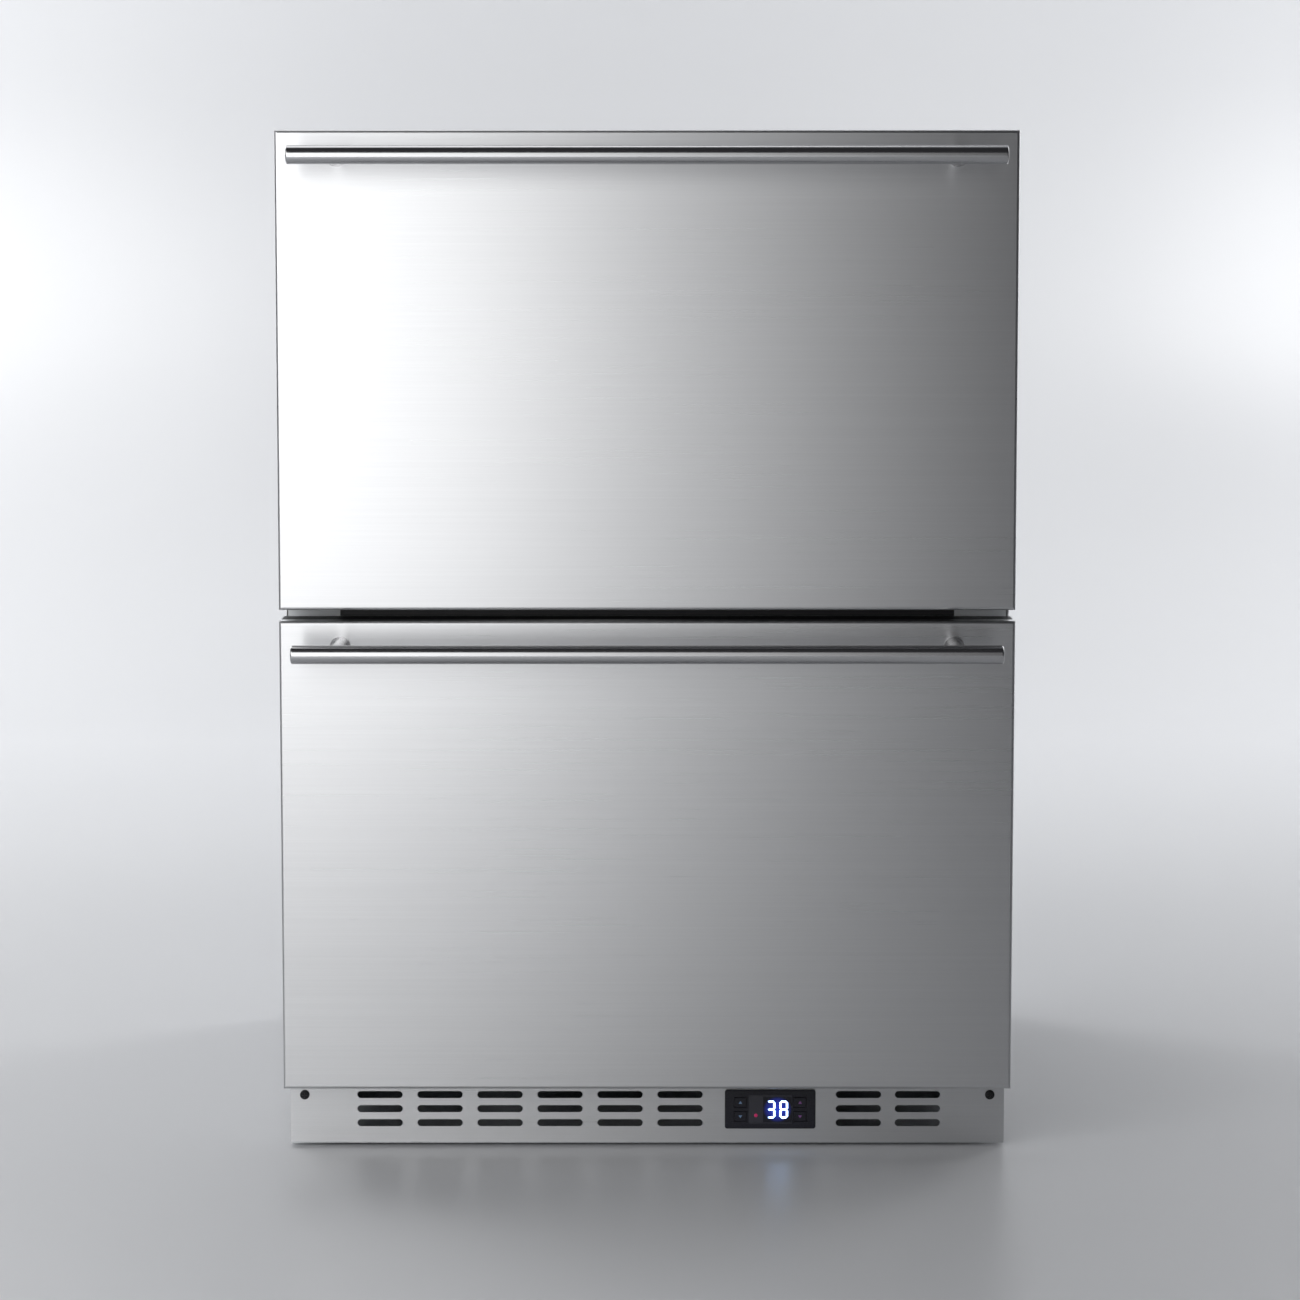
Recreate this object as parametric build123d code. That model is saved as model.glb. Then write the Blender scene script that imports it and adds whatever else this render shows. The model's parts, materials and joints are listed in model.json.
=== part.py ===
"""Two-drawer under-counter refrigerator, built as an assembly of separate pieces.

Millimetres, +Z up, the drawer fronts face -Y, +X is to the right of someone facing them.
The origin is at floor level, in the middle of the plan outline. Every piece is written to its
own STEP file; pieces that come in identical sets share one file as separate solids.
"""

import os

from build123d import *

os.makedirs("parts", exist_ok=True)

# ---------------------------------------------------------------- driving dimensions
WIDTH = 600.0  # over the drawer fronts
HEIGHT = 845.0  # floor to worktop underside
DEPTH = 648.0  # handle to rear screw heads
SHEET = 1.0  # stainless and galvanised sheet

FRONT_THICK = 42.0  # drawer front, skin to inner panel
FRONT_HEIGHT = 388.0
FRONT_GAP = 9.0  # between the two fronts
FRONT_BOTTOM = 60.0  # floor to the lower front
FRONT_EDGE_R = 2.5  # bend radius of the folded skin
GASKET_GAP = 6.0  # inner panel to cabinet face
GASKET_WIDTH = 16.0
GASKET_REACH = 284.0  # half width over the gasket

HANDLE_DIA = 15.0
HANDLE_LENGTH = 570.0
HANDLE_STANDOFF = 55.0  # bar axis to the front
HANDLE_DROP = 21.0  # bar axis below the front's top edge
POST_DIA = 12.0
POST_X = 250.0

CABINET_HALF = 299.0  # half width of the cabinet
REAR_HEAD = 2.0  # rear screw heads stand proud by this much
BASE_Z = 20.0  # underside of the base frame
BOX_Z = 56.0  # underside of the insulated box

LINER_HALF = 254.0  # half width of the cold space
LINER_T = 2.0
LINER_FLOOR = 102.0
LINER_TOP = 797.0
LINER_BACK = 273.0
STEP_Y = 92.0  # the liner steps up here over the machine compartment
STEP_Z = 304.0
BAY_Y = 134.0  # machine compartment, front wall and ceiling
BAY_Z = 262.0

SLIDE_LENGTH = 400.0
SLIDE_RISE = 290.0  # slide centre above the bottom of its front
SLIDE_DEPTH = 12.7
SLIDE_HALF = 22.5  # half height of the outer member
SLIDE_T = 1.2
SLIDE_PLAY = 0.5  # running gap between members
SLIDE_START = 5.0  # behind the cabinet face
SLIDE_STOP = 3.0

KICK_BOTTOM = 3.0
KICK_TOP = 55.0
SLOT_LENGTH = 38.0
SLOT_HEIGHT = 6.0
SLOT_PITCH = 50.3
SLOT_ROW_PITCH = 12.0
GRILLE_MID = 32.0  # height of the middle slot row and of the controller
SLOT_LEFT = -224.0  # first slot column
SLOT_COLUMNS_LEFT = 6
SLOT_COLUMNS_RIGHT = (177.0, 226.5)
KICK_SCREW_X = 287.0
KICK_SCREW_Z = 44.0

CONTROL_X = 103.0
BEZEL = (76.0, 33.0)
BEZEL_PROUD = 3.0
KEY_SIZE = (10.0, 8.0)
KEY_X = 25.0  # key columns either side of the controller's middle
KEY_Z = 6.0  # key rows above and below it
KEY_PROUD = 0.4
KEY_THICK = 2.0
KEY_GAP = 0.4

FOOT_X = 270.0
FOOT_ROWS = (-170.0, 290.0)
FOOT_PAD_DIA = 34.0
STUD_DIA = 8.0
THREAD_GAP = 0.1

BAY_MID_Y = 228.0  # depth centre line of the machine compartment
COMPRESSOR_X = 150.0
COMPRESSOR_R = 72.0
COMPRESSOR_Z = 32.0
DISCHARGE_Z = 205.0  # ends of the compressor's pipe stubs
SUCTION_Z = 140.0
FAN_Z = 124.0  # condenser fan axis height
EVAPORATOR_FAN_Z = 660.0
SHAFT_R = 3.0  # both fans
SHAFT_GAP = 0.05
SHROUD_X = -194.0  # condenser side of the fan shroud
RING_R = 78.0
RING_DEPTH = 22.0

COIL_PITCH = 22.0  # tube rows and columns, both coils
COIL_ROWS = 8
COIL_TUBE_R = 4.0
CONDENSER_AT = (-200.0, 152.0, 38.0)  # front right bottom corner of the block
CONDENSER_INLET = (-211.0, 235.0)
CONDENSER_OUTLET = (-233.0, 235.0)
CONDENSER_STUB = 34.0
EVAPORATOR_Y = 246.0
EVAPORATOR_AT = (-180.0, EVAPORATOR_Y - COIL_PITCH, 330.0)
EVAPORATOR_LENGTH = 330.0

# ---------------------------------------------------------------- derived planes
BACK_Y = DEPTH / 2 - REAR_HEAD
FRONT_Y = -DEPTH / 2 + HANDLE_DIA / 2 + HANDLE_STANDOFF
PANEL_Y = FRONT_Y + FRONT_THICK  # back face of the drawer fronts
FACE_Y = PANEL_Y + GASKET_GAP  # front face of the cabinet
KICK_Y = FACE_Y - SHEET  # front face of the kick plate
BEZEL_Y = KICK_Y - BEZEL_PROUD
INNER_HALF = CABINET_HALF - SHEET
REAR_SHEET_Y = BACK_Y - SHEET
DECK_TOP = BASE_Z + 2 * SHEET
SLIDE_Y0 = FACE_Y + SLIDE_START
SLIDE_Y1 = SLIDE_Y0 + SLIDE_LENGTH
ARM_X = LINER_HALF - SLIDE_DEPTH  # outer face of the drawer arms
FRONT_BOTTOMS = {"lower": FRONT_BOTTOM, "upper": FRONT_BOTTOM + FRONT_HEIGHT + FRONT_GAP}
MULLION_Z = FRONT_BOTTOM + FRONT_HEIGHT + FRONT_GAP / 2
MULLION_HALF = 25.5
MULLION_DEPTH = 38.0
BIN_FLOORS = {"lower": 112.0, "upper": 486.0}
BIN_DEPTHS = {"lower": 290.0, "upper": 398.0}
BIN_HALF = 225.0
BIN_WALL = 2.5
DRAIN_XY = (-40.0, 250.0)
SUCTION_X = 240.0
CAPILLARY_X = 205.0
LINE_Y = 298.0  # the tubes rise in the back wall here
REAR_SCREWS = [(x, z) for x in (-288, 0, 288) for z in (32, 252)]
GLAND_X, GLAND_Z = 268.0, 48.0
GLAND_BORE = 9.0
GLAND_BODY_R = 8.0
LINER_CORNER_R = 5.0  # upright rear corners of the cold space
DRAIN_R = 7.0
SCREW_HOLE_R = 2.1
TOP_ROW = (COIL_ROWS - 0.5) * COIL_PITCH  # height of a coil's highest tube
CONDENSER_STUB_Z = CONDENSER_AT[2] + TOP_ROW + CONDENSER_STUB
EVAPORATOR_END_Y = EVAPORATOR_Y + COIL_PITCH / 2  # rear tube column
EVAPORATOR_END_X = 168.0  # ends of the evaporator's stub pipes
SUCTION_LINE_Z = EVAPORATOR_AT[2] + COIL_PITCH / 2  # lowest tube row
CAPILLARY_Z = EVAPORATOR_AT[2] + TOP_ROW  # highest tube row
LINE_RUN_Z = 244.0  # the lines cross the machine compartment at this height
DRIER_X = (-170.0, -70.0)

# Refrigerant lines, each as its points, bend radii and outside diameter
DISCHARGE_LINE = (
    [
        (COMPRESSOR_X, BAY_MID_Y - 20, DISCHARGE_Z),
        (COMPRESSOR_X, BAY_MID_Y - 20, LINE_RUN_Z - 6),
        (CONDENSER_INLET[0], BAY_MID_Y - 20, LINE_RUN_Z),
        (*CONDENSER_INLET, LINE_RUN_Z + 6),
        (*CONDENSER_INLET, CONDENSER_STUB_Z),
    ],
    [12, 10, 5],
    6.0,
)
SUCTION_LINE = (
    [
        (SUCTION_X, BAY_MID_Y, SUCTION_Z),
        (SUCTION_X, BAY_MID_Y, SUCTION_Z + 30),
        (SUCTION_X, LINE_Y, SUCTION_Z + 60),
        (SUCTION_X, LINE_Y, SUCTION_LINE_Z),
        (SUCTION_X, EVAPORATOR_END_Y, SUCTION_LINE_Z),
        (EVAPORATOR_END_X, EVAPORATOR_END_Y, SUCTION_LINE_Z),
    ],
    [12, 12, 12, 12],
    8.0,
)
CAPILLARY = (
    [
        (DRIER_X[1], LINE_Y, LINE_RUN_Z),
        (CAPILLARY_X, LINE_Y, LINE_RUN_Z),
        (CAPILLARY_X, LINE_Y, CAPILLARY_Z),
        (CAPILLARY_X, EVAPORATOR_END_Y, CAPILLARY_Z),
        (EVAPORATOR_END_X, EVAPORATOR_END_Y, CAPILLARY_Z),
    ],
    [12, 12, 12],
    3.0,
)
LIQUID_LINE = (
    [
        (*CONDENSER_OUTLET, CONDENSER_STUB_Z),
        (*CONDENSER_OUTLET, LINE_RUN_Z + 6),
        (CONDENSER_OUTLET[0], LINE_Y, LINE_RUN_Z),
        (DRIER_X[0], LINE_Y, LINE_RUN_Z),
    ],
    [5, 10],
    6.0,
)

pieces = {}


# ---------------------------------------------------------------- helpers
def block(x, y, z):
    """A box from (low, high) pairs."""
    size = [b - a for a, b in (x, y, z)]
    middle = [(a + b) / 2 for a, b in (x, y, z)]
    return Pos(*middle) * Box(*size)


def rod(axis, radius, start, length):
    """A cylinder that starts at a point and runs along +X, +Y or +Z."""
    turn = {"x": Rot(0, 90, 0), "y": Rot(-90, 0, 0), "z": Rot(0, 0, 0)}[axis]
    bottom = (Align.CENTER, Align.CENTER, Align.MIN)
    return Pos(*start) * turn * Cylinder(radius, length, align=bottom)


def outline(points, half):
    """A solid with a profile in the YZ plane, spread over -half to +half in X."""
    face = make_face(Plane.YZ * Polyline(*points, close=True))
    return extrude(face, half, both=True)


def tube(points, radii, diameter):
    """A round bar along straight runs joined by tangent arcs."""
    path = FilletPolyline(*points, radius=radii)
    return sweep(Plane(path @ 0, z_dir=path % 0) * Circle(diameter / 2), path=path)


def both_sides(shape):
    """A left and right pair."""
    return [shape, mirror(shape, Plane.YZ)]


def keep(name, *shapes):
    """Records one piece, or one set of separate solids, under its node name."""
    pieces[name] = [solid for shape in shapes for solid in shape.solids()]


# ---------------------------------------------------------------- cabinet
def cabinet_shell():
    """Folded stainless wrapper: two sides and the top."""
    outer = block((-CABINET_HALF, CABINET_HALF), (FACE_Y, BACK_Y), (BASE_Z, HEIGHT))
    inner = block((-INNER_HALF, INNER_HALF), (FACE_Y - 1, BACK_Y + 1), (BASE_Z - 1, HEIGHT - SHEET))
    top_edges = outer.edges().filter_by(Axis.Y).group_by(Axis.Z)[-1]
    inner_edges = inner.edges().filter_by(Axis.Y).group_by(Axis.Z)[-1]
    return fillet(top_edges, 2 * SHEET) - fillet(inner_edges, SHEET)


def liner_void(grow, front):
    """The cold space's stepped volume, grown by a wall thickness."""
    floor, top = LINER_FLOOR - grow, LINER_TOP + grow
    step_y, step_z, back = STEP_Y + grow, STEP_Z - grow, LINER_BACK + grow
    profile = [(front, floor), (step_y, floor), (step_y, step_z)]
    profile += [(back, step_z), (back, top), (front, top)]
    body = outline(profile, LINER_HALF + grow)
    corners = body.edges().filter_by(Axis.Z).filter_by(lambda e: e.center().Y > step_y - 1)
    return fillet(corners, LINER_CORNER_R + grow)


def inner_liner():
    """Thermoformed white tub with a flange that covers the insulation's front edge."""
    rim_z = (BOX_Z + SHEET, HEIGHT - SHEET)
    flange = block((-INNER_HALF + SHEET, INNER_HALF - SHEET), (FACE_Y, FACE_Y + LINER_T), rim_z)
    wall = liner_void(LINER_T, FACE_Y) + flange - liner_void(0, FACE_Y - 1)
    drain = rod("z", DRAIN_R, (*DRAIN_XY, STEP_Z - 3), 6)
    return wall - drain - tube(*SUCTION_LINE) - tube(*CAPILLARY)


def cabinet_insulation():
    """Polyurethane foam between the liner, the shell and the machine compartment."""
    front, low = FACE_Y + LINER_T, BOX_Z + SHEET
    bay_y, bay_z, top = BAY_Y - SHEET, BAY_Z + SHEET, HEIGHT - SHEET
    profile = [(front, low), (bay_y, low), (bay_y, bay_z)]
    profile += [(REAR_SHEET_Y, bay_z), (REAR_SHEET_Y, top), (front, top)]
    foam = outline(profile, INNER_HALF - SHEET) - liner_void(LINER_T, FACE_Y - 1)
    drain = rod("z", DRAIN_R, (*DRAIN_XY, bay_z - 1), STEP_Z - bay_z + 2)
    return foam - drain - tube(*SUCTION_LINE) - tube(*CAPILLARY)


def center_mullion():
    """Heated divider that both drawer gaskets seal on."""
    z = (MULLION_Z - MULLION_HALF, MULLION_Z + MULLION_HALF)
    bar = block((-LINER_HALF, LINER_HALF), (FACE_Y, FACE_Y + MULLION_DEPTH), z)
    return fillet(bar.edges().filter_by(Axis.X).group_by(Axis.Y)[-1], 5)


def bay_bulkhead():
    """Bent sheet under the insulation and around the machine compartment."""
    half = INNER_HALF - SHEET
    sheet = block((-half, half), (FACE_Y + LINER_T, BAY_Y), (BOX_Z, BOX_Z + SHEET))
    sheet += block((-half, half), (BAY_Y - SHEET, BAY_Y), (BOX_Z, BAY_Z + SHEET))
    sheet += block((-half, half), (BAY_Y - SHEET, REAR_SHEET_Y), (BAY_Z, BAY_Z + SHEET))
    drain = rod("z", DRAIN_R, (*DRAIN_XY, BAY_Z - 1), 3)
    return sheet - drain - tube(*SUCTION_LINE) - tube(*CAPILLARY)


def back_panel():
    """Galvanised sheet behind the insulation, with two stiffening beads pressed in."""
    z = (BAY_Z, HEIGHT - SHEET)
    panel = block((-INNER_HALF, INNER_HALF), (REAR_SHEET_Y, BACK_Y), z)
    panel = fillet(panel.edges().filter_by(Axis.Y).group_by(Axis.Z)[-1], 1.5 * SHEET)
    for x in (-150, 150):
        panel += rod("z", 1.5, (x, BACK_Y, BAY_Z + 60), z[1] - z[0] - 120)
    return panel - block((-INNER_HALF, INNER_HALF), (REAR_SHEET_Y - 3, REAR_SHEET_Y), z)


def base_frame():
    """Welded base: two side rails, the compressor deck, a cross member and front tabs."""
    plate_z = (BASE_Z, DECK_TOP)
    y = (FACE_Y + 20, REAR_SHEET_Y)
    frame = block((-INNER_HALF, INNER_HALF), (BAY_Y, y[1]), plate_z)
    frame += block((-INNER_HALF, INNER_HALF), (FACE_Y + 75, FACE_Y + 100), plate_z)
    for side in (-1, 1):
        web = sorted((side * INNER_HALF, side * (INNER_HALF - 2)))
        foot_plate = sorted((side * INNER_HALF, side * (INNER_HALF - 48)))
        tab = sorted((side * INNER_HALF, side * (INNER_HALF - 24)))
        frame += block(web, y, (BASE_Z, BOX_Z))
        frame += block(foot_plate, y, plate_z)
        frame += block(tab, (y[0] - 2, y[0]), (BASE_Z, BOX_Z))
        frame += block(tab, (FACE_Y, y[0]), (BASE_Z, DECK_TOP))
        frame += block(tab, (FACE_Y, FACE_Y + 2), (BASE_Z, BOX_Z - 2))
        frame -= rod("y", SCREW_HOLE_R, (side * KICK_SCREW_X, FACE_Y - 1, KICK_SCREW_Z), 8)
        for y_foot in FOOT_ROWS:
            nut = rod("z", 8, (side * FOOT_X, y_foot, DECK_TOP), 7)
            frame += nut
            frame -= rod("z", STUD_DIA / 2 + THREAD_GAP, (side * FOOT_X, y_foot, BASE_Z - 1), 12)
    for x, y_bolt in grommet_places():
        frame -= rod("z", 3, (x, y_bolt, BASE_Z - 1), 4)
    return frame


def machine_cover():
    """Louvred sheet that closes the machine compartment at the back."""
    x = (-INNER_HALF + SHEET, INNER_HALF - SHEET)
    cover = block(x, (REAR_SHEET_Y, BACK_Y), (DECK_TOP + SHEET, BAY_Z - SHEET))
    for column in range(7):
        for row in range(9):
            place = (-216 + 72 * column, BACK_Y, 62 + 20 * row)
            cover -= Pos(*place) * Rot(90, 0, 0) * extrude(SlotOverall(52, 5), 3, both=True)
    for x_hole, z_hole in REAR_SCREWS:
        cover -= rod("y", SCREW_HOLE_R, (x_hole, REAR_SHEET_Y - 1, z_hole), 3)
    return cover - rod("y", GLAND_BODY_R, (GLAND_X, REAR_SHEET_Y - 1, GLAND_Z), 3)


def cord_gland():
    """Gland in the rear cover, with a bore for the mains lead."""
    x, z = GLAND_X, GLAND_Z
    body = rod("y", GLAND_BODY_R, (x, REAR_SHEET_Y - 14, z), 15)
    body += Pos(x, REAR_SHEET_Y, z) * Rot(90, 0, 0) * extrude(RegularPolygon(11, 6), 5)
    body += rod("y", 10.5, (x, BACK_Y, z), REAR_HEAD)
    return body - rod("y", GLAND_BORE / 2, (x, REAR_SHEET_Y - 20, z), 30)


def pan_head_screw(x, face, z, toward):
    """A screw whose head stands proud of a vertical face; toward is +1 for a rear face."""
    low = face if toward > 0 else face - REAR_HEAD
    head = rod("y", 4, (x, low, z), REAR_HEAD)
    head = fillet(head.edges().filter_by(GeomType.CIRCLE).sort_by(Axis.Y)[-1 if toward > 0 else 0], 1.2)
    cross = low + REAR_HEAD - 0.8 if toward > 0 else low
    for turn in (0, 90):
        recess = block((-2, 2), (cross, cross + 0.8), (-0.4, 0.4))
        head -= Pos(x, 0, z) * Rot(0, turn, 0) * recess
    shank = rod("y", 2.0, (x, face - 10 if toward > 0 else face, z), 10)
    return head + shank


def compressor_bolt(x, y):
    """Bolt through the base frame and a compressor grommet."""
    return rod("z", 2.9, (x, y, BASE_Z), 22) + rod("z", 5, (x, y, BASE_Z + 19.2), 4)


# ---------------------------------------------------------------- kick plate and controller
def kick_plate():
    """Stainless grille with three rows of air slots and the controller's cut-out."""
    z = (KICK_BOTTOM, KICK_TOP)
    plate = block((-CABINET_HALF, CABINET_HALF), (KICK_Y, FACE_Y), z)
    plate += block((-CABINET_HALF, CABINET_HALF), (KICK_Y, KICK_Y + 14), (z[0], z[0] + SHEET))
    columns = [SLOT_LEFT + SLOT_PITCH * i for i in range(SLOT_COLUMNS_LEFT)]
    for x in columns + list(SLOT_COLUMNS_RIGHT):
        for row in (-1, 0, 1):
            place = Pos(x, KICK_Y, GRILLE_MID + row * SLOT_ROW_PITCH) * Rot(90, 0, 0)
            plate -= place * extrude(SlotOverall(SLOT_LENGTH, SLOT_HEIGHT), 3, both=True)
    for side in (-1, 1):
        plate -= rod("y", SCREW_HOLE_R, (side * KICK_SCREW_X, KICK_Y - 1, KICK_SCREW_Z), 4)
    cut_x, cut_z = BEZEL[0] / 2 - 3, BEZEL[1] / 2 - 3
    return plate - block(
        (CONTROL_X - cut_x, CONTROL_X + cut_x),
        (KICK_Y - 1, KICK_Y + 3),
        (GRILLE_MID - cut_z, GRILLE_MID + cut_z),
    )


def key_box(column, row, grow, y):
    """One key, or with grow its pocket, at a column and row of -1 or +1."""
    x, z = CONTROL_X + column * KEY_X, GRILLE_MID + row * KEY_Z
    half_x, half_z = KEY_SIZE[0] / 2 + grow, KEY_SIZE[1] / 2 + grow
    return block((x - half_x, x + half_x), y, (z - half_z, z + half_z))


def controller_housing():
    """Panel-mounted thermostat: bezel, body, key pockets and a recess for the window."""
    x = (CONTROL_X - BEZEL[0] / 2, CONTROL_X + BEZEL[0] / 2)
    z = (GRILLE_MID - BEZEL[1] / 2, GRILLE_MID + BEZEL[1] / 2)
    bezel = block(x, (BEZEL_Y, KICK_Y), z)
    bezel = fillet(bezel.edges().filter_by(Axis.Y), 2)
    bezel = fillet(bezel.faces().sort_by(Axis.Y)[0].edges(), 0.8)
    body = block((x[0] + 3.2, x[1] - 3.2), (KICK_Y, KICK_Y + 55), (z[0] + 3.2, z[1] - 3.2))
    housing = bezel + body - window_box()
    for column in (-1, 1):
        for row in (-1, 1):
            housing -= key_box(column, row, KEY_GAP, (BEZEL_Y - 1, KICK_Y))
    return housing


def window_box():
    """The display window, flush in the bezel between the key columns."""
    return block(
        (CONTROL_X - 18, CONTROL_X + 18),
        (BEZEL_Y, BEZEL_Y + 1.5),
        (GRILLE_MID - 12, GRILLE_MID + 12),
    )


def key(column, row):
    """A sprung key that stands slightly proud of the bezel."""
    low = BEZEL_Y - KEY_PROUD
    cap = key_box(column, row, 0, (low, low + KEY_THICK))
    cap = fillet(cap.edges().filter_by(Axis.Y), 1)
    return fillet(cap.faces().sort_by(Axis.Y)[0].edges(), 0.3)


# ---------------------------------------------------------------- drawers
def front_skin(bottom):
    """Stainless pan: face, deep side returns, short top and bottom returns."""
    x, z = (-WIDTH / 2, WIDTH / 2), (bottom, bottom + FRONT_HEIGHT)
    y = (FRONT_Y, PANEL_Y - 2)
    outer = block(x, y, z)
    outer = fillet(outer.faces().sort_by(Axis.Y)[0].edges(), FRONT_EDGE_R)
    inner = block(
        (x[0] + SHEET, x[1] - SHEET), (y[0] + SHEET, y[1] + 1), (z[0] + SHEET, z[1] - SHEET)
    )
    inner = fillet(inner.faces().sort_by(Axis.Y)[0].edges(), FRONT_EDGE_R - SHEET)
    pan = outer - inner
    for end in (z[0], z[1] - SHEET):
        pan -= block((x[0] + SHEET, x[1] - SHEET), (y[0] + 14, y[1] + 1), (end, end + SHEET))
    for post_x in (-POST_X, POST_X):
        pan -= rod("y", 2.6, (post_x, y[0] - 1, z[1] - HANDLE_DROP), 3)
    return pan


def front_foam(bottom):
    """Insulation inside a drawer front, with pockets for the handle screw heads."""
    foam = block(
        (-WIDTH / 2 + SHEET, WIDTH / 2 - SHEET),
        (FRONT_Y + SHEET, PANEL_Y - 2),
        (bottom + 3, bottom + FRONT_HEIGHT - 3),
    )
    foam = fillet(foam.edges().filter_by(Axis.Z).group_by(Axis.Y)[0], 2)
    for post_x in (-POST_X, POST_X):
        place = (post_x, FRONT_Y, bottom + FRONT_HEIGHT - HANDLE_DROP)
        foam -= rod("y", 8, place, 9)
    return foam


def edge_caps(bottom):
    """Black plastic caps that close the top and bottom of a drawer front."""
    caps = []
    for edge, way in ((bottom, 1), (bottom + FRONT_HEIGHT, -1)):
        half = WIDTH / 2 - SHEET
        plate = block((-half, half), (FRONT_Y + 14, PANEL_Y - 2), sorted((edge, edge + way)))
        plate += block((-half, half), (FRONT_Y + 4, PANEL_Y - 2), sorted((edge + way, edge + 3 * way)))
        caps.append(plate)
    return caps


def gasket_ring(bottom, mullion_side, inset, y):
    """A rounded rectangular ring inside the gasket's outline."""
    low = 4 if mullion_side < 0 else 16
    z0, z1 = bottom + low, bottom + low + FRONT_HEIGHT - 20
    reach = GASKET_REACH
    outer = block((-reach + inset, reach - inset), y, (z0 + inset, z1 - inset))
    hole = GASKET_WIDTH - inset
    inner = block((-reach + hole, reach - hole), (y[0] - 1, y[1] + 1), (z0 + hole, z1 - hole))
    outer = fillet(outer.edges().filter_by(Axis.Y), 9)
    return outer - fillet(inner.edges().filter_by(Axis.Y), 3)


def gasket(bottom, mullion_side):
    """Magnetic gasket: a mounting strip and a narrower sealing bulb."""
    strip = gasket_ring(bottom, mullion_side, 0, (PANEL_Y, PANEL_Y + 2))
    bulb = gasket_ring(bottom, mullion_side, 2.5, (PANEL_Y + 2, FACE_Y - 0.2))
    return strip + bulb


def inner_panel(bottom):
    """White plastic back of a drawer front."""
    x = (-WIDTH / 2, WIDTH / 2)
    panel = block(x, (PANEL_Y - 2, PANEL_Y), (bottom, bottom + FRONT_HEIGHT))
    return fillet(panel.edges().filter_by(Axis.Y), 2)


def handle_bar(bottom):
    """Round bar across the front, with eased ends and blind holes for the posts."""
    z = bottom + FRONT_HEIGHT - HANDLE_DROP
    bar = rod("x", HANDLE_DIA / 2, (-HANDLE_LENGTH / 2, FRONT_Y - HANDLE_STANDOFF, z), HANDLE_LENGTH)
    return fillet(bar.edges().filter_by(GeomType.CIRCLE), 1.5)


def handle_posts(bottom):
    """Two posts, saddle-cut where they meet the bar and tapped for their screws."""
    z = bottom + FRONT_HEIGHT - HANDLE_DROP
    posts = []
    for x in (-POST_X, POST_X):
        post = rod("y", POST_DIA / 2, (x, FRONT_Y - HANDLE_STANDOFF, z), HANDLE_STANDOFF)
        post += rod("y", POST_DIA / 2 + 2.5, (x, FRONT_Y - 3, z), 3)
        post -= rod("y", 2.5, (x, FRONT_Y - 14, z), 15)
        posts.append(post - handle_bar(bottom))
    return posts


def handle_screws(bottom):
    """Screws inside the front that hold the handle posts."""
    z = bottom + FRONT_HEIGHT - HANDLE_DROP
    screws = []
    for x in (-POST_X, POST_X):
        head = rod("y", 5, (x, FRONT_Y + SHEET, z), 5) - rod("y", 2, (x, FRONT_Y + 3, z), 4)
        screws.append(head + rod("y", 2.5, (x, FRONT_Y - 12, z), 13.5))
    return screws


def drawer_arms(bottom):
    """Steel side arms: a flange on the inner panel, a web on the slide, a ledge for the bin."""
    slide_z = bottom + SLIDE_RISE
    web = block((ARM_X - 2, ARM_X), (PANEL_Y, SLIDE_Y1), (slide_z - 20, slide_z + 24))
    flange = block((ARM_X - 38, ARM_X), (PANEL_Y, PANEL_Y + 2), (slide_z - 60, slide_z + 24))
    ledge = block((ARM_X - 14, ARM_X), (PANEL_Y, SLIDE_Y1), (slide_z + 22, slide_z + 24))
    gusset = extrude(
        make_face(
            Plane.YZ.offset(ARM_X - 2)
            * Polyline(
                (PANEL_Y, slide_z - 60), (PANEL_Y, slide_z - 19), (PANEL_Y + 60, slide_z - 19), close=True
            )
        ),
        2,
    )
    return both_sides(web + flange + ledge + gusset)


def drawer_bin(name):
    """Deep bin whose side lips rest on the arms."""
    rim = FRONT_BOTTOMS[name] + SLIDE_RISE + 26
    floor, y0 = BIN_FLOORS[name], FACE_Y + 2
    y = (y0, y0 + BIN_DEPTHS[name])
    wall = BIN_WALL
    outer = block((-BIN_HALF, BIN_HALF), y, (floor, rim))
    inner = block(
        (-BIN_HALF + wall, BIN_HALF - wall), (y[0] + wall, y[1] - wall), (floor + wall, rim + 30)
    )
    outer = fillet(outer.edges().filter_by(Axis.Z), 18)
    outer = fillet(outer.faces().sort_by(Axis.Z)[0].edges(), 10)
    inner = fillet(inner.edges().filter_by(Axis.Z), 18 - wall)
    inner = fillet(inner.faces().sort_by(Axis.Z)[0].edges(), 10 - wall)
    lips = block((-BIN_HALF - 13, BIN_HALF + 13), (y[0] + 22, y[1] - 22), (rim - 2, rim))
    return outer + lips - inner


# ---------------------------------------------------------------- telescopic slides
def channel(z_mid, web, tips, half_height, y):
    """A C-section on the +X wall; web and tips are depths measured from the liner wall."""
    web_x, tip_x = LINER_HALF - web, LINER_HALF - tips
    inward = SLIDE_T if tip_x > web_x else -SLIDE_T
    section = block(sorted((web_x, web_x + inward)), y, (z_mid - half_height, z_mid + half_height))
    for way in (-1, 1):
        edge = z_mid + way * half_height
        section += block(sorted((web_x, tip_x)), y, sorted((edge, edge - way * SLIDE_T)))
    return section


def slide_outer(z_mid):
    """Cabinet member, screwed to the liner wall, with a stop across its rear end."""
    inside = SLIDE_HALF - SLIDE_T
    member = channel(z_mid, 0, SLIDE_DEPTH - SLIDE_PLAY, SLIDE_HALF, (SLIDE_Y0, SLIDE_Y1))
    stop_x = (LINER_HALF - SLIDE_DEPTH + SLIDE_PLAY, LINER_HALF)
    member += block(stop_x, (SLIDE_Y1 - SLIDE_STOP, SLIDE_Y1), (z_mid - inside, z_mid + inside))
    return both_sides(member)


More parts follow.
